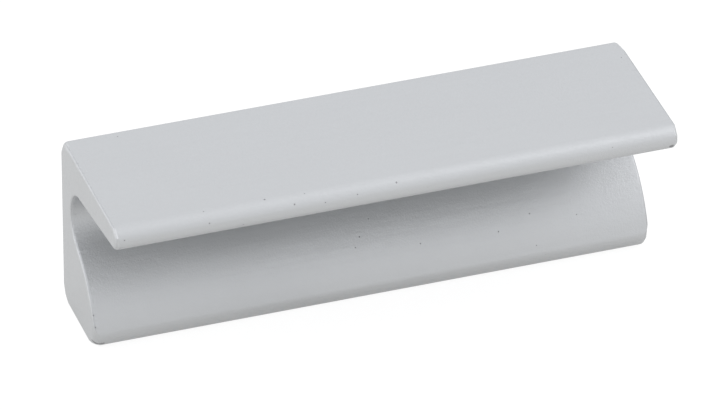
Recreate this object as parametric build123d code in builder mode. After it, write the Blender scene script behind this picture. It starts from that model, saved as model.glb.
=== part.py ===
from build123d import *
import math
import os

# Aluminium profile pull handle: one length of extruded section, cut square at both ends.
# The foot stands on the door, its underside on Z = 0. The grip plate lies parallel to the door above it,
# and the fingers hook behind its lip into the round channel between plate and foot.
# X runs along the handle, the lip points to -Y, and the origin is midway between the two screw holes.

# Overall sizes, in millimetres
handle_length = 80.0
projection = 26.0
plate_depth = 25.0
foot_depth = 14.5

# Grip plate: thickest where it leaves the back wall, thinnest at the lip
lip_thickness = 3.2
lip_upper_radius = 1.9
lip_lower_radius = 1.3

# Back wall and its two long corners
wall_thickness = 4.0
back_upper_radius = 2.0
back_lower_radius = 1.6

# Finger channel behind the grip plate, and the thickness of the plate over its round top
channel_radius = 4.6
plate_thickness = 5.2
channel_height = projection - plate_thickness - channel_radius

# Front of the foot: a rounded nose at the door and a long swell up into the channel
nose_radius = 2.2
swell_radius = 15.0

# Rounding left on the cut ends by the tumbling before anodising. The corners that stand out are worn rounder
# than the edges between them, the nose's most. The directions in which each is worn are in degrees above
# straight forward, and the wear reaches this far to both sides.
end_edge_radius = 0.4
nose_corner_radius = 1.3
lip_corner_radius = 0.8
back_corner_radius = 0.9
nose_directions = (-60.0, -35.0, -10.0)
lip_lower_directions = (-40.0, -5.0)
lip_upper_directions = (5.0, 45.0)
back_top_directions = (100.0, 125.0, 150.0)
back_bottom_directions = (205.0, 240.0)
wear_reach = 4.0

# Two blind holes for M4 screws that come through the door from behind
screw_spacing = 64.0
screw_setback = 7.0
tap_drill_diameter = 3.3
tap_drill_depth = 9.0
drill_point_angle = 118.0
lead_in_diameter = 4.3
lead_in_angle = 90.0


def polar(radius, direction):
    """The step of that length in the section, at that angle in radians above straight forward."""
    return Vector(radius * math.cos(direction), radius * math.sin(direction))


def plane_across(arc_center, arc_radius, direction):
    """The plane across the handle that meets the outline in that direction, its Y axis into the metal."""
    angle = math.radians(direction)
    meeting_point = arc_center + polar(arc_radius, angle)
    return Plane(
        origin=(0, screw_setback - meeting_point.X, meeting_point.Y),
        x_dir=(1, 0, 0),
        z_dir=(0, math.sin(angle), math.cos(angle)),
    )


# Corners of the section. Its own axes start at the foot of the back face, forward and up.
back_bottom = Vector(0, 0)
back_top = Vector(0, projection)
lip_top = Vector(plate_depth, projection)
lip_bottom = Vector(plate_depth, projection - lip_thickness)

# The nose runs on into the swell, and the swell into the channel, each tangent to the next. So the swell's
# centre lies swell_radius less nose_radius from the nose's centre, and both radii from the channel's.
nose_start = Vector(foot_depth - nose_radius, 0)
nose_front = Vector(foot_depth, nose_radius)
nose_center = Vector(foot_depth - nose_radius, nose_radius)
channel_back = Vector(wall_thickness, channel_height)
channel_center = Vector(wall_thickness + channel_radius, channel_height)
nose_to_channel = channel_center - nose_center
nose_to_swell = swell_radius - nose_radius
swell_to_channel = swell_radius + channel_radius
nose_corner_cosine = (nose_to_swell**2 + nose_to_channel.length**2 - swell_to_channel**2) / (
    2 * nose_to_swell * nose_to_channel.length
)
swell_direction = math.atan2(nose_to_channel.Y, nose_to_channel.X) + math.acos(nose_corner_cosine)
swell_center = nose_center + polar(nose_to_swell, swell_direction)
swell_start = nose_center + (nose_center - swell_center).normalized() * nose_radius
swell_end = swell_center + (channel_center - swell_center).normalized() * swell_radius

# The underside of the plate runs straight from the lip and touches the top of the channel
channel_to_lip = lip_bottom - channel_center
underside_direction = math.atan2(channel_to_lip.Y, channel_to_lip.X) + math.acos(
    channel_radius / channel_to_lip.length
)
underside_end = channel_center + polar(channel_radius, underside_direction)

# The section stands upright across the handle, its back face behind the screw holes
section_plane = Plane(origin=(0, screw_setback, 0), x_dir=(0, -1, 0), z_dir=(-1, 0, 0))
mounting_plane = Plane(origin=(0, 0, 0), x_dir=(1, 0, 0), z_dir=(0, 0, -1))

# The corners of the cut ends: the centre and radius of each arc of the outline, how it is worn and how round
lip_upper_center = Vector(plate_depth - lip_upper_radius, projection - lip_upper_radius)
lip_lower_center = Vector(plate_depth - lip_lower_radius, projection - lip_thickness + lip_lower_radius)
back_top_center = Vector(back_upper_radius, projection - back_upper_radius)
back_bottom_center = Vector(back_lower_radius, back_lower_radius)
worn_corners = [
    (nose_center, nose_radius, nose_directions, nose_corner_radius),
    (lip_lower_center, lip_lower_radius, lip_lower_directions, lip_corner_radius),
    (lip_upper_center, lip_upper_radius, lip_upper_directions, lip_corner_radius),
    (back_top_center, back_upper_radius, back_top_directions, back_corner_radius),
    (back_bottom_center, back_lower_radius, back_bottom_directions, back_corner_radius),
]

with BuildPart() as pull_handle:
    with BuildSketch(section_plane):
        with BuildLine():
            outside = FilletPolyline(
                underside_end,
                lip_bottom,
                lip_top,
                back_top,
                back_bottom,
                nose_start,
                radius=(lip_lower_radius, lip_upper_radius, back_upper_radius, back_lower_radius),
            )
            nose = ThreePointArc(outside @ 1, nose_front, swell_start)
            swell = TangentArc(nose @ 1, swell_end, tangent=nose % 1)
            ThreePointArc(swell @ 1, channel_back, outside @ 0)
        make_face()
    extrude(amount=handle_length / 2, both=True)

    # Both cut ends: the whole outline of the end face is lightly rounded
    end_faces = pull_handle.faces().filter_by(Axis.X)
    fillet(end_faces.edges(), radius=end_edge_radius)

    # Worn corners: at both ends of each plane across the outline, what lies outside a round corner goes
    for arc_center, arc_radius, directions, worn_radius in worn_corners:
        for worn_direction in directions:
            with BuildSketch(plane_across(arc_center, arc_radius, worn_direction)):
                with GridLocations(handle_length, 0, 2, 1):
                    Rectangle(2 * worn_radius, 2 * worn_radius)
                with Locations((0, worn_radius)):
                    with GridLocations(handle_length - 2 * worn_radius, 0, 2, 1):
                        Circle(worn_radius, mode=Mode.SUBTRACT)
            extrude(amount=wear_reach, both=True, mode=Mode.SUBTRACT)

    # Tapped holes in the foot, each with a lead-in and the cone that the drill leaves
    with Locations(mounting_plane):
        with GridLocations(screw_spacing, 0, 2, 1):
            CounterSinkHole(
                radius=tap_drill_diameter / 2,
                counter_sink_radius=lead_in_diameter / 2,
                depth=tap_drill_depth,
                counter_sink_angle=lead_in_angle,
            )
    drill_point_height = tap_drill_diameter / 2 / math.tan(math.radians(drill_point_angle / 2))
    with Locations((0, 0, tap_drill_depth)):
        with GridLocations(screw_spacing, 0, 2, 1):
            Cone(
                bottom_radius=tap_drill_diameter / 2,
                top_radius=0,
                height=drill_point_height,
                align=(Align.CENTER, Align.CENTER, Align.MIN),
                mode=Mode.SUBTRACT,
            )

pull_handle.part.label = "pull_handle"
os.makedirs("parts", exist_ok=True)
export_step(pull_handle.part, "parts/pull_handle.step")
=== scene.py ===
import math

import bpy
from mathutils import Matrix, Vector


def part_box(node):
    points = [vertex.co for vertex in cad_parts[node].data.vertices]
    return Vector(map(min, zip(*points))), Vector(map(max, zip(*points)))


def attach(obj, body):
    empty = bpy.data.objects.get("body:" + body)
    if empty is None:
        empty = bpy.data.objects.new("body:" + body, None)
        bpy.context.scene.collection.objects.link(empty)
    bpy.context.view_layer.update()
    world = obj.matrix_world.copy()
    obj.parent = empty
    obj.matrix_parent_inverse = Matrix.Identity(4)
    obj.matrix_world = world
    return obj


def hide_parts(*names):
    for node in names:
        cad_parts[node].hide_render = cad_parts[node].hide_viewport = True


# A short door pull cut from one aluminium profile, blasted and anodised in its natural silver.
# X runs along the handle, the lip points to -Y, and the foot's underside lies on Z = 0.
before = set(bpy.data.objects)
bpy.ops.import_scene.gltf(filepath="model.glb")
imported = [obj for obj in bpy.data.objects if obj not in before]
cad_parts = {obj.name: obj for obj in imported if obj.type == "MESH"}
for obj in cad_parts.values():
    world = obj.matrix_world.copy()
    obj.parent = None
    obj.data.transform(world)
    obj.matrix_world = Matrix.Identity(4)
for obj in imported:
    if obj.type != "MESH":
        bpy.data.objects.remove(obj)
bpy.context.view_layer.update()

MM = 0.001

# Outer size of the profile, taken from the fixed frame
low_corner, high_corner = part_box("pull_handle")
half_length = high_corner.x
back_y = high_corner.y
lip_y = low_corner.y
top_z = high_corner.z
plate_depth = back_y - lip_y

# Section of the profile, and how far the straight sides that make up an arc may lie from it
foot_depth = 14.5 * MM
lip_thickness = 3.2 * MM
lip_upper_radius = 1.9 * MM
lip_lower_radius = 1.3 * MM
wall_thickness = 4.0 * MM
back_upper_radius = 2.0 * MM
back_lower_radius = 1.6 * MM
channel_radius = 4.6 * MM
channel_height = 16.2 * MM
nose_radius = 2.2 * MM
swell_radius = 15.0 * MM
arc_tolerance = 0.003 * MM

# Rounding of the cut ends, and of their corners, which are worn rounder. The directions of this
# wear are in degrees above straight forward.
end_edge_radius = 0.4 * MM
end_edge_segments = 6
nose_corner_radius = 1.3 * MM
lip_corner_radius = 0.8 * MM
back_corner_radius = 0.9 * MM
wear_reach = 4.0 * MM
corner_sides = 96
nose_directions = (-60, -35, -10)
lip_lower_directions = (-40, -5)
lip_upper_directions = (5, 45)
back_top_directions = (100, 125, 150)
back_bottom_directions = (205, 240)

# Tapped holes in the foot, M4 with a pitch of 0.7 mm. The tap is made with more turns than it
# needs, and its two ends are then cut off flat.
screw_spacing = 64.0 * MM
bore_diameter = 3.3 * MM
bore_depth = 9.0 * MM
drill_point_angle = math.radians(118.0)
lead_in_diameter = 4.3 * MM
lead_in_angle = math.radians(90.0)
thread_diameter = 4.0 * MM
thread_pitch = 0.7 * MM
thread_flat = thread_pitch / 8
thread_depth = 7.5 * MM
turns_before_mouth = 2
turns_past_depth = 1
hole_sides = 48

# What a tool passes beyond a surface that it cuts through
overshoot = 0.5 * MM

# How near two vertices are one, and how near a vertex is in a cutting plane
merge_distance = 0.001 * MM
plane_tolerance = 0.001 * merge_distance

# A face counts as lying across an axis from this much of its normal along that axis
across_axis = 0.9

# Edges that turn by more than this stay sharp, and large faces count this much for the shading
sharp_angle = math.radians(28)
large_face_weight = 100

# Patterns of the outside, in millimetres
grain_size = 0.3
fine_grain_size = 0.09
dimple_size = 0.7
cloud_size = 6.0
die_line_spacing = 0.8
stray_pit_spacing = 3.2
stray_pit_radius = 0.06

# Colours and gloss of the outside
silver_shades = ((0.592, 0.601, 0.610), (0.618, 0.628, 0.637))
# The duller silver is painted shade on the cut ends' rounded edges, which dims their highlight
edge_shade_silver = (0.50, 0.51, 0.52)
# The pits are real dents, given as relief; their dark floor colour is painted shade inside them
pit_shade_colour = (0.25, 0.25, 0.26)
satin_roughness = 0.55

# Relief of the outside, and how deep its pits and nicks are beside that
relief_height = 0.075 * MM
pit_depth = 1.0
nick_depth = 0.35

# How strong a stray pit is beside a larger one, and the share of the painted pit shade's colour in
# a pit
stray_pit_strength = 0.5
pit_shade_share = 0.8

# The rim of a larger pit beside its radius in pit_places, and the floor of any pit beside its rim
pit_widening = 1.3
pit_floor_share = 0.4

# Painted shade on the cut ends' rounded edge, and the nicks beside it: where each starts and is
# full, in millimetres from the end
edge_shade_from_end = (0.35, 0.2)
nicked_from_end = (1.6, 0.2)

# Where the painted edge shade starts and is full, and where the end face is, by how far the surface
# faces out of the end, from 0 on the long faces to 1 on the end face
edge_begins = (0.08, 0.3)
end_face_begins = (0.6, 0.85)

# The noise behind the nicks: its size in millimetres, and its levels where they start and are full
nick_size = 0.7
nick_levels = (0.56, 0.68)

# The holes' walls: sizes of their patterns in millimetres, shades, roughness and relief
ring_spacing = 0.12
wall_grain_size = 0.2
wall_cloud_size = 1.5
wall_shades = ((0.52, 0.53, 0.55), (0.68, 0.69, 0.70))
wall_roughness = 0.36
wall_relief_height = 0.01 * MM

# The larger pits and chips: the place and radius of each, in millimetres
pit_places = (
    # Along the lip
    (-18.63, -16.47, 25.96, 0.14),
    (-0.29, -17.43, 25.46, 0.13),
    (-14.81, -17.70, 25.13, 0.11),
    (30.46, -17.80, 24.95, 0.07),
    (-26.84, -17.89, 24.73, 0.09),
    (-38.75, -17.95, 24.55, 0.09),
    (-13.07, -16.70, 25.90, 0.08),
    (-27.26, -16.61, 25.93, 0.08),
    (-22.09, -17.95, 23.60, 0.08),
    (-10.51, -17.91, 24.68, 0.08),
    (-5.94, -17.80, 24.94, 0.08),
    # The chip at the lip's right corner
    (39.04, -17.89, 23.42, 0.30),
    (38.83, -17.89, 23.44, 0.22),
    # On top of the plate
    (-32.66, 4.57, 26.0, 0.09),
    (38.82, 1.63, 26.0, 0.09),
    # On the swell
    (18.51, -5.85, 6.35, 0.09),
    (7.26, -5.67, 6.64, 0.09),
    (23.33, -4.91, 7.72, 0.09),
    (-1.04, -4.18, 8.60, 0.09),
    (-1.91, -5.05, 7.54, 0.08),
    (0.80, -2.56, 10.15, 0.08),
    (29.93, -5.67, 6.64, 0.08),
    (23.62, -7.10, 3.76, 0.08),
    # The chips round the nose's left corner, whose dark spots also paint the contact shadow under
    # it
    (-39.89, -6.04, 0.97, 0.20),
    (-39.83, -6.32, 1.01, 0.24),
    (-39.74, -6.49, 0.97, 0.26),
    (-39.62, -6.64, 0.94, 0.24),
    (-39.43, -6.85, 0.97, 0.16),
    (-39.21, -7.06, 1.06, 0.16),
    (-38.96, -7.16, 1.07, 0.20),
    (-38.72, -7.15, 1.01, 0.24),
    # On the swell's left edge
    (-39.78, -6.37, 5.32, 0.10),
    (-39.73, -7.06, 3.79, 0.10),
)

# Steps that the modelling repeats


def pick(piece):
    """Selects that piece alone, outside edit mode."""
    if bpy.context.object is not None and bpy.context.object.mode != "OBJECT":
        bpy.ops.object.mode_set(mode="OBJECT")
    bpy.ops.object.select_all(action="DESELECT")
    piece.select_set(True)
    bpy.context.view_layer.objects.active = piece


def enter_edit(piece):
    """Puts that one piece in edit mode, with all of its mesh selected."""
    pick(piece)
    bpy.ops.object.mode_set(mode="EDIT")
    bpy.ops.mesh.select_mode(type="VERT")
    bpy.ops.mesh.select_all(action="SELECT")


def leave_edit():
    bpy.ops.object.mode_set(mode="OBJECT")


def select_only(piece, kind, wanted):
    """In edit mode: selects the piece's edges or faces that the test picks, and nothing else."""
    bpy.ops.mesh.select_mode(type=kind)
    bpy.ops.mesh.select_all(action="DESELECT")
    bpy.ops.object.mode_set(mode="OBJECT")
    for element in piece.data.edges if kind == "EDGE" else piece.data.polygons:
        element.select = wanted(element)
    bpy.ops.object.mode_set(mode="EDIT")


def extrude_faces(x=0, z=0):
    """In edit mode: draws what is selected out along X or Z."""
    bpy.ops.mesh.extrude_region_move(TRANSFORM_OT_translate={"value": (x, 0, z)})


def close_mesh():
    """In edit mode: joins vertices that lie on each other and turns all faces outwards."""
    bpy.ops.mesh.select_all(action="SELECT")
    bpy.ops.mesh.remove_doubles(threshold=merge_distance)
    bpy.ops.mesh.normals_make_consistent(inside=False)


def apply_modifier(piece, modifier):
    pick(piece)
    bpy.ops.object.modifier_apply(modifier=modifier.name)


def settle(piece):
    """Moves the piece's place into its mesh, so that its object sits at the origin."""
    pick(piece)
    bpy.ops.object.transform_apply(location=True, rotation=True, scale=True)


def name_new_piece(name):
    """Names and settles the primitive that was just added."""
    piece = bpy.context.object
    piece.name = name
    settle(piece)
    return piece


def start_from_vertex(name, x):
    """A new piece that is one vertex on the X axis, selected in edit mode."""
    bpy.ops.mesh.primitive_plane_add(size=MM, location=(x, 0, 0))
    piece = name_new_piece(name)
    enter_edit(piece)
    bpy.ops.mesh.merge(type="CENTER")
    return piece


def join_pieces(pieces):
    """Makes one piece of several."""
    pick(pieces[0])
    for piece in pieces[1:]:
        piece.select_set(True)
    bpy.ops.object.join()
    return pieces[0]


def cut_away(piece, cutter, finish=None):
    """Takes the cutter's shape out of the piece, then the cutter away. The cut gets that finish."""
    if finish is not None:
        cutter.data.materials.clear()
        cutter.data.materials.append(finish)
    cut = piece.modifiers.new("cut", "BOOLEAN")
    cut.operation = "DIFFERENCE"
    cut.solver = "EXACT"
    cut.object = cutter
    cut.material_mode = "TRANSFER"
    apply_modifier(piece, cut)
    bpy.data.objects.remove(cutter)


# The section's outline is drawn in the plane X = -half_length, as points (Y, Z)


def section_point(forward, up):
    """The point that far in front of the back face and above the foot's underside."""
    return Vector((back_y - forward, up))


def direction(angle):
    return Vector((math.cos(angle), math.sin(angle)))


def turn_from(first, second):
    """The angle from the first direction to the second. Turns from +Y to +Z are positive."""
    return math.atan2(first.x * second.y - first.y * second.x, first.dot(second))


def turn_through(center, start, middle, end):
    """The angle of the arc about the centre from start through middle to end."""
    first_half = turn_from(start - center, middle - center)
    return first_half + turn_from(middle - center, end - center)


def extrude_to(here, there):
    """In edit mode: draws a straight run from the selected vertex. Returns where it ends."""
    step = there - here
    bpy.ops.mesh.extrude_vertices_move(TRANSFORM_OT_translate={"value": (0, step.x, step.y)})
    return there.copy()


def sweep_arc(here, center, turn):
    """In edit mode: draws an arc from the selected vertex about a centre. Returns where it ends."""
    radius = (here - center).length
    step_angle = 2 * math.acos(1 - arc_tolerance / radius)
    bpy.ops.mesh.spin(
        steps=math.ceil(abs(turn) / step_angle),
        angle=turn,
        center=(-half_length, center.x, center.y),
        axis=(-1, 0, 0),
    )
    arm = here - center
    cosine, sine = math.cos(turn), math.sin(turn)
    return center + Vector((arm.x * cosine - arm.y * sine, arm.x * sine + arm.y * cosine))


def round_corner(here, corner, after, radius):
    """Draws the run up to a corner and the arc round it. Returns where the arc ends."""
    way_in = (corner - here).normalized()
    way_out = (after - corner).normalized()
    turn = turn_from(way_in, way_out)
    setback = radius * math.tan(abs(turn) / 2)
    arc_start = extrude_to(here, corner - way_in * setback)
    side = math.copysign(1, turn)
    center = arc_start + Vector((-way_in.y, way_in.x)) * radius * side
    return sweep_arc(arc_start, center, turn)


def section_features():
    """Centres and ends of the nose, the swell and the channel, each tangent to the next."""
    nose_center = section_point(foot_depth - nose_radius, nose_radius)
    channel_center = section_point(wall_thickness + channel_radius, channel_height)
    reach = channel_center - nose_center
    to_nose = swell_radius - nose_radius
    to_channel = swell_radius + channel_radius
    cosine = (to_nose**2 + reach.length**2 - to_channel**2) / (2 * to_nose * reach.length)
    heading = math.atan2(reach.y, reach.x) - math.acos(cosine)
    swell_center = nose_center + direction(heading) * to_nose
    swell_start = nose_center + (nose_center - swell_center).normalized() * nose_radius
    swell_end = swell_center + (channel_center - swell_center).normalized() * swell_radius
    return nose_center, swell_center, channel_center, swell_start, swell_end


def draw_outline():
    """In edit mode, from one vertex on the X axis: draws the whole outline of the section."""
    nose_center, swell_center, channel_center, swell_start, swell_end = section_features()
    lip_bottom = section_point(plate_depth, top_z - lip_thickness)
    to_lip = lip_bottom - channel_center
    heading = math.atan2(to_lip.y, to_lip.x) - math.acos(channel_radius / to_lip.length)
    underside_end = channel_center + direction(heading) * channel_radius
    corners = [
        (lip_bottom, lip_lower_radius),
        (section_point(plate_depth, top_z), lip_upper_radius),
        (section_point(0, top_z), back_upper_radius),
        (section_point(0, 0), back_lower_radius),
    ]
    nose_start = section_point(foot_depth - nose_radius, 0)
    nose_front = section_point(foot_depth, nose_radius)
    channel_back = section_point(wall_thickness, channel_height)

    bpy.ops.transform.translate(value=(0, underside_end.x, underside_end.y))
    here = underside_end
    for number, (corner, radius) in enumerate(corners):
        after = corners[number + 1][0] if number + 1 < len(corners) else nose_start
        here = round_corner(here, corner, after, radius)
    here = extrude_to(here, nose_start)
    nose_turn = turn_through(nose_center, nose_start, nose_front, swell_start)
    here = sweep_arc(here, nose_center, nose_turn)
    swell_turn = turn_from(swell_start - swell_center, swell_end - swell_center)
    here = sweep_arc(here, swell_center, swell_turn)
    channel_turn = turn_through(channel_center, swell_end, channel_back, underside_end)
    sweep_arc(here, channel_center, channel_turn)


def in_end_outline(piece, edge):
    """Whether the edge lies wholly in one of the two cut ends."""
    first, second = (piece.data.vertices[index].co.x for index in edge.vertices)
    return abs(first - second) < overshoot and half_length - abs(first) < overshoot


def model_profile():
    """The length of profile: its outline drawn out along X as a face, with rounded cut ends."""
    profile = start_from_vertex("handle_profile", -half_length)
    draw_outline()
    close_mesh()
    bpy.ops.mesh.edge_face_add()
    extrude_faces(x=2 * half_length)
    close_mesh()
    select_only(profile, "EDGE", lambda edge: in_end_outline(profile, edge))
    bpy.ops.mesh.bevel(
        offset=end_edge_radius,
        offset_type="OFFSET",
        segments=end_edge_segments,
        affect="EDGES",
        clamp_overlap=False,
    )
    close_mesh()
    leave_edit()
    return profile


def worn_corners():
    """Each worn corner: its arc's centre and radius, the wear's directions, and how round it is."""
    lip_lower_height = top_z - lip_thickness + lip_lower_radius
    nose = section_point(foot_depth - nose_radius, nose_radius)
    lip_lower = section_point(plate_depth - lip_lower_radius, lip_lower_height)
    lip_upper = section_point(plate_depth - lip_upper_radius, top_z - lip_upper_radius)
    back_top = section_point(back_upper_radius, top_z - back_upper_radius)
    back_bottom = section_point(back_lower_radius, back_lower_radius)
    return [
        (nose, nose_radius, nose_directions, nose_corner_radius),
        (lip_lower, lip_lower_radius, lip_lower_directions, lip_corner_radius),
        (lip_upper, lip_upper_radius, lip_upper_directions, lip_corner_radius),
        (back_top, back_upper_radius, back_top_directions, back_corner_radius),
        (back_bottom, back_lower_radius, back_bottom_directions, back_corner_radius),
    ]


def model_corner_file(side, arc_center, arc_radius, facing, worn_radius):
    """A block with a round hollow, which lies against a corner of a cut end and wears it away."""
    outward = Vector((-math.cos(facing), math.sin(facing)))
    axis_point = arc_center + outward * (arc_radius - worn_radius)
    hollow_x = side * (half_length - worn_radius)
    reach = worn_radius + overshoot
    bpy.ops.mesh.primitive_cube_add(
        size=1,
        location=(hollow_x + side * reach / 2, *(axis_point + outward * reach / 2)),
        rotation=(-facing, 0, 0),
        scale=(reach, reach, 2 * wear_reach),
    )
    block = name_new_piece("corner_file")
    bpy.ops.mesh.primitive_cylinder_add(
        vertices=corner_sides,
        radius=worn_radius,
        depth=2 * wear_reach + 2 * overshoot,
        location=(hollow_x, *axis_point),
        rotation=(-facing, 0, 0),
    )
    cut_away(block, name_new_piece("hollow"))
    return block


def wear_corners(piece, side, finish):
    """Files down the corners of one cut end, in several directions each."""
    for arc_center, arc_radius, directions, worn_radius in worn_corners():
        for degrees in directions:
            facing = math.radians(degrees)
            corner_file = model_corner_file(side, arc_center, arc_radius, facing, worn_radius)
            cut_away(piece, corner_file, finish)
            enter_edit(piece)
            close_mesh()
            leave_edit()


def model_drill(x):
    """A drill-shaped cutter: the lead-in, the bore and the drill's point."""
    bpy.ops.mesh.primitive_cylinder_add(
        vertices=hole_sides,
        radius=bore_diameter / 2,
        depth=bore_depth,
        end_fill_type="NGON",
        location=(x, 0, bore_depth / 2),
    )
    drill = name_new_piece("drill")
    enter_edit(drill)
    point_height = bore_diameter / 2 / math.tan(drill_point_angle / 2)
    select_only(drill, "FACE", lambda face: face.normal.z > across_axis)
    extrude_faces(z=point_height)
    bpy.ops.mesh.merge(type="CENTER")
    lead_in_height = (lead_in_diameter - bore_diameter) / 2 / math.tan(lead_in_angle / 2)
    widening = lead_in_diameter / bore_diameter
    select_only(drill, "FACE", lambda face: face.normal.z < -across_axis)
    bpy.ops.transform.translate(value=(0, 0, lead_in_height))
    extrude_faces(z=-lead_in_height)
    bpy.ops.transform.resize(value=(widening, widening, 1), center_override=(x, 0, 0))
    extrude_faces(z=-overshoot)
    close_mesh()
    leave_edit()
    return drill


def model_tap(x):
    """A tap-shaped cutter: a ridge screwed up the hole's axis, cut off flat at both ends."""
    root = bore_diameter / 2
    crest = thread_diameter / 2
    flank = (thread_pitch - 2 * thread_flat) / 2
    ridge = ((0, thread_flat), (crest - root, flank), (0, thread_flat), (root - crest, flank))
    tap = start_from_vertex("tap", 0)
    bpy.ops.transform.translate(value=(root, 0, -turns_before_mouth * thread_pitch))
    for step_out, step_up in ridge:
        bpy.ops.mesh.extrude_vertices_move(
            TRANSFORM_OT_translate={"value": (step_out, 0, step_up)}
        )
    leave_edit()
    turns_in_hole = math.ceil(thread_depth / thread_pitch)
    screw = tap.modifiers.new("thread", "SCREW")
    screw.angle = 2 * math.pi
    screw.screw_offset = thread_pitch
    screw.iterations = turns_before_mouth + turns_in_hole + turns_past_depth
    screw.steps = hole_sides
    screw.render_steps = hole_sides
    screw.use_merge_vertices = True
    screw.merge_threshold = merge_distance
    apply_modifier(tap, screw)
    enter_edit(tap)
    for height, clear_above in ((-overshoot, False), (thread_depth, True)):
        bpy.ops.mesh.select_all(action="SELECT")
        bpy.ops.mesh.bisect(
            plane_co=(0, 0, height),
            plane_no=(0, 0, 1),
            threshold=plane_tolerance,
            use_fill=True,
            clear_inner=not clear_above,
            clear_outer=clear_above,
        )
    close_mesh()
    bpy.ops.transform.translate(value=(x, 0, 0))
    leave_edit()
    settle(tap)
    return tap


def smooth_faces(piece):
    """Smooths the rounded faces and keeps the wide flat ones flat."""
    pick(piece)
    bpy.ops.object.shade_smooth_by_angle(angle=sharp_angle)
    weighted = piece.modifiers.new("flats", "WEIGHTED_NORMAL")
    weighted.keep_sharp = True
    weighted.weight = large_face_weight
    apply_modifier(piece, weighted)


# Finish. Patterns are laid out on the handle in millimetres.


def start_group(name, vectors, numbers, results):
    """A node group with those inputs and results: its tree, what goes in, and what comes out."""
    group = bpy.data.node_groups.new(name, "ShaderNodeTree")
    for way, kind, socket_names in (
        ("INPUT", "NodeSocketVector", vectors),
        ("INPUT", "NodeSocketFloat", numbers),
        ("OUTPUT", "NodeSocketFloat", results),
    ):
        for socket_name in socket_names:
            group.interface.new_socket(socket_name, in_out=way, socket_type=kind)
    entry = group.nodes.new("NodeGroupInput")
    result = group.nodes.new("NodeGroupOutput")
    return group, entry.outputs, result.inputs


def place_group(tree, group, place, **values):
    """Puts the group in a material, on that place, with its own values."""
    node = tree.nodes.new("ShaderNodeGroup")
    node.node_tree = group
    tree.links.new(place, node.inputs["Place"])
    for name, value in values.items():
        node.inputs[name.replace("_", " ").capitalize()].default_value = value
    return node


def worked_out(tree, operation, first, second=None, clamp=False):
    """The result of one step of arithmetic on sockets or numbers."""
    step = tree.nodes.new("ShaderNodeMath")
    step.operation = operation
    step.use_clamp = clamp
    for socket, value in zip(step.inputs, (first, second)):
        if isinstance(value, bpy.types.NodeSocket):
            tree.links.new(value, socket)
        elif value is not None:
            socket.default_value = value
    return step.outputs["Value"]


def faded(tree, value, start, end):
    """Goes smoothly from 0 where the value is at start to 1 where it is at end."""
    ramp = tree.nodes.new("ShaderNodeMapRange")
    ramp.interpolation_type = "SMOOTHSTEP"
    tree.links.new(value, ramp.inputs["Value"])
    for name, limit in (("From Min", start), ("From Max", end)):
        if isinstance(limit, bpy.types.NodeSocket):
            tree.links.new(limit, ramp.inputs[name])
        else:
            ramp.inputs[name].default_value = limit
    return ramp.outputs["Result"]


def spot(tree, distance, rim):
    """A round spot: 0 from its rim outwards, and 1 over its floor."""
    return faded(tree, distance, rim, worked_out(tree, "MULTIPLY", rim, pit_floor_share))


def noise(tree, place, size, detail, roughness=0.5):
    """Cloudy noise from 0 to 1, with patches about as large as size."""
    pattern = tree.nodes.new("ShaderNodeTexNoise")
    pattern.inputs["Detail"].default_value = detail
    pattern.inputs["Roughness"].default_value = roughness
    tree.links.new(place, pattern.inputs["Vector"])
    tree.links.new(worked_out(tree, "DIVIDE", 1.0, size), pattern.inputs["Scale"])
    return pattern.outputs["Fac"]


def stretched(tree, place, scale):
    """The place with each axis times its scale, so a scale under 1 draws a pattern out."""
    mapping = tree.nodes.new("ShaderNodeMapping")
    mapping.inputs["Scale"].default_value = scale
    tree.links.new(place, mapping.inputs["Vector"])
    return mapping.outputs["Vector"]


def split_axes(tree, vector):
    axes = tree.nodes.new("ShaderNodeSeparateXYZ")
    tree.links.new(vector, axes.inputs["Vector"])
    return axes.outputs


def blasted_grain():
    """The fine even grain that bead blasting leaves."""
    group, given, result = start_group("blasted_grain", ["Place"], ["Grain size"], ["Grain"])
    grain = noise(group, given["Place"], given["Grain size"], detail=4.0, roughness=0.65)
    group.links.new(grain, result["Grain"])
    return group


def die_lines():
    """Faint long lines that the extrusion die draws along the profile."""
    group, given, result = start_group("die_lines", ["Place"], ["Spacing"], ["Lines"])
    along = stretched(group, given["Place"], (0.02, 1.0, 1.0))
    group.links.new(noise(group, along, given["Spacing"], detail=2.0), result["Lines"])
    return group


def cloudiness():
    """Soft patches, longer along the handle, where the metal is a little lighter or darker."""
    group, given, result = start_group("cloudiness", ["Place"], ["Patch size"], ["Cloud"])
    longer = stretched(group, given["Place"], (0.5, 1.0, 1.0))
    group.links.new(noise(group, longer, given["Patch size"], detail=3.0), result["Cloud"])
    return group


def stray_pits():
    """Small pits, thinly scattered."""
    sizes = ["Spacing", "Pit radius"]
    group, given, result = start_group("stray_pits", ["Place"], sizes, ["Pits"])
    cells = group.nodes.new("ShaderNodeTexVoronoi")
    group.links.new(given["Place"], cells.inputs["Vector"])
    scale = worked_out(group, "DIVIDE", 1.0, given["Spacing"])
    group.links.new(scale, cells.inputs["Scale"])
    distance = worked_out(group, "MULTIPLY", cells.outputs["Distance"], given["Spacing"])
    group.links.new(spot(group, distance, given["Pit radius"]), result["Pits"])
    return group


def larger_pits():
    """The pits and chips that are large enough to stand out, each at its own place."""
    group, given, result = start_group("larger_pits", ["Place"], ["Widening"], ["Pits"])
    pits = None
    for x, y, z, radius in pit_places:
        away = group.nodes.new("ShaderNodeVectorMath")
        away.operation = "DISTANCE"
        group.links.new(given["Place"], away.inputs[0])
        away.inputs[1].default_value = (x, y, z)
        rim = worked_out(group, "MULTIPLY", given["Widening"], radius)
        pit = spot(group, away.outputs["Value"], rim)
        pits = pit if pits is None else worked_out(group, "MAXIMUM", pits, pit)
    group.links.new(pits, result["Pits"])
    return group


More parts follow.
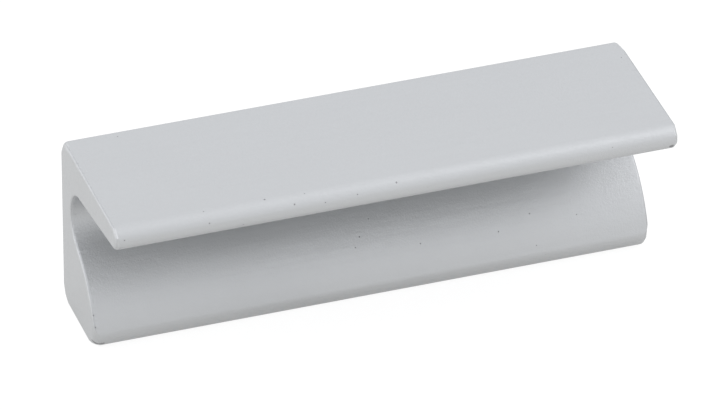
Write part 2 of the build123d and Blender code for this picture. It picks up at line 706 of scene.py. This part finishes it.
def end_nicks_and_edge_shade():
    """Painted shade on the rounded edge of the cut ends, which dims its highlight, and the nicks
    beside it.
    """
    group, given, result = start_group(
        "end_nicks_and_edge_shade", ["Place", "Facing"], ["Half length"], ["Wear", "Nicks"]
    )
    from_middle = worked_out(group, "ABSOLUTE", split_axes(group, given["Place"])["X"])
    from_end = worked_out(group, "SUBTRACT", given["Half length"], from_middle)
    near_end = faded(group, from_end, *edge_shade_from_end)
    outward = worked_out(group, "ABSOLUTE", split_axes(group, given["Facing"])["X"])
    turned_out = faded(group, outward, *edge_begins)
    turned_far = faded(group, outward, *end_face_begins)
    edge = worked_out(group, "SUBTRACT", turned_out, turned_far, clamp=True)
    group.links.new(worked_out(group, "MULTIPLY", near_end, edge), result["Wear"])
    beside_edge = faded(group, from_end, *nicked_from_end)
    knocks = faded(group, noise(group, given["Place"], nick_size, detail=2.0), *nick_levels)
    group.links.new(worked_out(group, "MULTIPLY", knocks, beside_edge), result["Nicks"])
    return group


def coloured(tree, factor, first, second):
    """Goes from the first colour or socket to the second as the factor goes from 0 to 1."""
    blend = tree.nodes.new("ShaderNodeMix")
    blend.data_type = "RGBA"
    tree.links.new(factor, blend.inputs["Factor"])
    for socket, colour in ((blend.inputs[6], first), (blend.inputs[7], second)):
        if isinstance(colour, bpy.types.NodeSocket):
            tree.links.new(colour, socket)
        else:
            socket.default_value = (*colour, 1)
    return blend.outputs[2]


def weighted_sum(tree, middle, parts):
    """The middle value, moved by each part's distance from one half times its weight."""
    total = middle
    for part, weight in parts:
        moved = worked_out(tree, "MULTIPLY", worked_out(tree, "SUBTRACT", part, 0.5), weight)
        total = worked_out(tree, "ADD", moved, total)
    return total


def deepened(tree, relief, mask, depth):
    """The relief, lower by that depth where the mask is full."""
    return worked_out(tree, "SUBTRACT", relief, worked_out(tree, "MULTIPLY", mask, depth))


def start_metal(name):
    """A metal material: its tree, its shader, and the place on the handle in millimetres."""
    material = bpy.data.materials.new(name)
    material.use_nodes = True
    tree = material.node_tree
    shader = tree.nodes["Principled BSDF"]
    shader.inputs["Metallic"].default_value = 1.0
    coordinate = tree.nodes.new("ShaderNodeTexCoord")
    place = stretched(tree, coordinate.outputs["Object"], (1 / MM, 1 / MM, 1 / MM))
    return material, tree, shader, place


def add_bump(tree, shader, height, distance):
    bump = tree.nodes.new("ShaderNodeBump")
    bump.inputs["Distance"].default_value = distance
    tree.links.new(height, bump.inputs["Height"])
    tree.links.new(bump.outputs["Normal"], shader.inputs["Normal"])


def anodised_aluminium(grain_group, cloud_group):
    """The handle's outside: extruded, blasted, tumbled at the cut ends, and anodised silver, with
    painted shade on the cut ends' edges and in the pits.
    """
    material, tree, shader, place = start_metal("blasted_anodised_aluminium")

    def pattern(group, result, **values):
        return place_group(tree, group, place, **values).outputs[result]

    grain = pattern(grain_group, "Grain", grain_size=grain_size)
    fine_grain = pattern(grain_group, "Grain", grain_size=fine_grain_size)
    dimples = pattern(cloud_group, "Cloud", patch_size=dimple_size)
    cloud = pattern(cloud_group, "Cloud", patch_size=cloud_size)
    lines = pattern(die_lines(), "Lines", spacing=die_line_spacing)
    stray = pattern(
        stray_pits(), "Pits", spacing=stray_pit_spacing, pit_radius=stray_pit_radius
    )
    larger = pattern(larger_pits(), "Pits", widening=pit_widening)
    faint_stray = worked_out(tree, "MULTIPLY", stray, stray_pit_strength)
    pits = worked_out(tree, "MAXIMUM", faint_stray, larger)
    ends = place_group(tree, end_nicks_and_edge_shade(), place, half_length=half_length / MM)
    facing = tree.nodes.new("ShaderNodeTexCoord").outputs["Normal"]
    tree.links.new(facing, ends.inputs["Facing"])

    tone = weighted_sum(tree, 0.5, ((grain, 0.06), (cloud, 0.7), (lines, 0.3)))
    silver = coloured(tree, tone, *silver_shades)
    # Painted shade: the cut ends' rounded edges are made duller, which dims their highlight
    edge_shaded = coloured(tree, ends.outputs["Wear"], silver, edge_shade_silver)
    # The pits darken towards their floors: painted shade inside the dents
    pit_shade = worked_out(tree, "MULTIPLY", pits, pit_shade_share)
    tree.links.new(coloured(tree, pit_shade, edge_shaded, pit_shade_colour), shader.inputs["Base Color"])

    satin = weighted_sum(tree, satin_roughness, ((grain, 0.04), (cloud, 0.08)))
    tree.links.new(satin, shader.inputs["Roughness"])
    rough_parts = ((grain, 0.5), (fine_grain, 0.2), (dimples, 0.3), (lines, 0.35), (cloud, 1.2))
    relief = weighted_sum(tree, 0.0, rough_parts)
    relief = deepened(tree, relief, pits, pit_depth)
    relief = deepened(tree, relief, ends.outputs["Nicks"], nick_depth)
    add_bump(tree, shader, relief, relief_height)
    return material


def drilled_aluminium(grain_group, cloud_group):
    """The holes' walls: fine turned rings from the drill and the tap, under the same anodising."""
    material, tree, shader, place = start_metal("drilled_anodised_aluminium")
    up_the_hole = stretched(tree, place, (0.0, 0.0, 1.0))
    rings = noise(tree, up_the_hole, ring_spacing, detail=2.0)
    grain = place_group(tree, grain_group, place, grain_size=wall_grain_size).outputs["Grain"]
    cloud = place_group(tree, cloud_group, place, patch_size=wall_cloud_size).outputs["Cloud"]
    tone = weighted_sum(tree, 0.5, ((rings, 1.2), (grain, 0.4), (cloud, 0.6)))
    tree.links.new(coloured(tree, tone, *wall_shades), shader.inputs["Base Color"])
    gloss = weighted_sum(tree, wall_roughness, ((rings, 0.1), (cloud, 0.1)))
    tree.links.new(gloss, shader.inputs["Roughness"])
    relief = weighted_sum(tree, 0.0, ((rings, 1.0), (grain, 0.3)))
    add_bump(tree, shader, relief, wall_relief_height)
    return material


grain_group = blasted_grain()
cloud_group = cloudiness()
outside = anodised_aluminium(grain_group, cloud_group)
hole_wall = drilled_aluminium(grain_group, cloud_group)

profile = model_profile()
profile.data.materials.append(outside)
for side in (-1, 1):
    wear_corners(profile, side, outside)
hole_places = (-screw_spacing / 2, screw_spacing / 2)
for model_cutter in (model_drill, model_tap):
    cut_away(profile, join_pieces([model_cutter(x) for x in hole_places]), hole_wall)
smooth_faces(profile)

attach(profile, "root")
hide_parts("pull_handle")

# Floor, light and camera

# The floor, white in view and a little warm where the metal mirrors it
floor_width = 3.0
plain_white = (1.0, 1.0, 1.0)
warm_white = (1.0, 0.993, 0.975)

# Light from all round
sky_colour = (0.97, 0.98, 1.0)
sky_strength = 1.0

# Soft boxes, which all aim at the handle's middle: the place, width and power of each
lamp_colour = (0.98, 0.98, 1.0)
lamp_target = Vector((0, -0.005, 0.013))
soft_boxes = {
    "back_box": ((0, 0.35, 0.6), 0.5, 0.08),
    "left_box": ((-0.5, -0.05, 0.25), 0.35, 0.51),
    "left_back_box": ((-0.35, 0.45, 0.18), 0.3, 0.25),
    "right_box": ((0.5, -0.1, 0.5), 0.4, 0.45),
    "right_card": ((0.16, -0.05, 0.12), 0.12, 0.032),
}

# Camera: where it aims, how far from there it stands, how it is turned, and its lens in millimetres
camera_aim = Vector((0.117, -2.659, 12.56)) * MM
camera_distance = 1.245
turned_left = math.radians(18.74)
raised = math.radians(33.30)
tilted = math.radians(0.1)
lens_length = 451.3
sensor_width = 36.0


def paper(tree, glow_strength, board_tone, whiteness=plain_white):
    """A paper surface that is partly lit from within, so that only part of a shadow shows on it."""
    glow = tree.nodes.new("ShaderNodeEmission")
    glow.inputs["Color"].default_value = (*whiteness, 1)
    glow.inputs["Strength"].default_value = glow_strength
    board = tree.nodes.new("ShaderNodeBsdfDiffuse")
    board.inputs["Color"].default_value = (*(board_tone * part for part in whiteness), 1)
    sheet = tree.nodes.new("ShaderNodeAddShader")
    tree.links.new(glow.outputs["Emission"], sheet.inputs[0])
    tree.links.new(board.outputs["BSDF"], sheet.inputs[1])
    return sheet.outputs["Shader"]


def choose(tree, factor, first, second):
    """Goes from the first shader to the second as the factor goes from 0 to 1."""
    choice = tree.nodes.new("ShaderNodeMixShader")
    tree.links.new(factor, choice.inputs["Fac"])
    tree.links.new(first, choice.inputs[1])
    tree.links.new(second, choice.inputs[2])
    return choice.outputs["Shader"]


def add_floor():
    """A pale floor with the handle's shadow. It shows as white, and from below not at all."""
    bpy.ops.mesh.primitive_plane_add(size=floor_width, location=(0, 0, 0))
    floor = bpy.context.object
    floor.name = "floor"
    material = bpy.data.materials.new("pale_floor")
    material.use_nodes = True
    tree = material.node_tree
    tree.nodes.clear()
    ray = tree.nodes.new("ShaderNodeLightPath").outputs
    mirrored = worked_out(
        tree, "ADD", ray["Is Glossy Ray"], ray["Is Transmission Ray"], clamp=True
    )
    lit = paper(tree, glow_strength=0.0, board_tone=0.85)
    in_metal = paper(tree, glow_strength=0.38, board_tone=0.44, whiteness=warm_white)
    in_view = paper(tree, glow_strength=0.9, board_tone=0.15)
    surface = choose(tree, mirrored, lit, in_metal)
    surface = choose(tree, ray["Is Camera Ray"], surface, in_view)
    from_below = tree.nodes.new("ShaderNodeNewGeometry").outputs["Backfacing"]
    clear = tree.nodes.new("ShaderNodeBsdfTransparent").outputs["BSDF"]
    surface = choose(tree, from_below, surface, clear)
    output = tree.nodes.new("ShaderNodeOutputMaterial")
    tree.links.new(surface, output.inputs["Surface"])
    floor.data.materials.append(material)


def add_world():
    world = bpy.data.worlds.new("studio")
    bpy.context.scene.world = world
    world.use_nodes = True
    background = world.node_tree.nodes["Background"]
    background.inputs["Color"].default_value = (*sky_colour, 1)
    background.inputs["Strength"].default_value = sky_strength


def add_soft_box(name, place, width, watts):
    """A square lamp of cool daylight that faces the handle and stays out of view."""
    lamp_data = bpy.data.lights.new(name, "AREA")
    lamp_data.shape = "SQUARE"
    lamp_data.size = width
    lamp_data.energy = watts
    lamp_data.color = lamp_colour
    lamp = bpy.data.objects.new(name, lamp_data)
    bpy.context.scene.collection.objects.link(lamp)
    lamp.location = place
    to_handle = lamp_target - Vector(place)
    lamp.rotation_euler = to_handle.to_track_quat("-Z", "Y").to_euler()
    lamp.visible_camera = False


def add_camera():
    """A long lens that looks down at the handle from a little to its left."""
    to_left = -math.sin(turned_left) * math.cos(raised)
    to_front = -math.cos(turned_left) * math.cos(raised)
    towards_camera = Vector((to_left, to_front, math.sin(raised)))
    camera_data = bpy.data.cameras.new("camera")
    camera_data.lens = lens_length
    camera_data.sensor_width = sensor_width
    camera = bpy.data.objects.new("camera", camera_data)
    bpy.context.scene.collection.objects.link(camera)
    camera.location = camera_aim + towards_camera * camera_distance
    camera.rotation_euler = (-towards_camera).to_track_quat("-Z", "Y").to_euler()
    camera.rotation_euler.rotate_axis("Z", tilted)
    bpy.context.scene.camera = camera


add_floor()
add_world()
for name, (place, width, watts) in soft_boxes.items():
    add_soft_box(name, place, width, watts)
add_camera()
bpy.context.scene.view_settings.view_transform = "Standard"
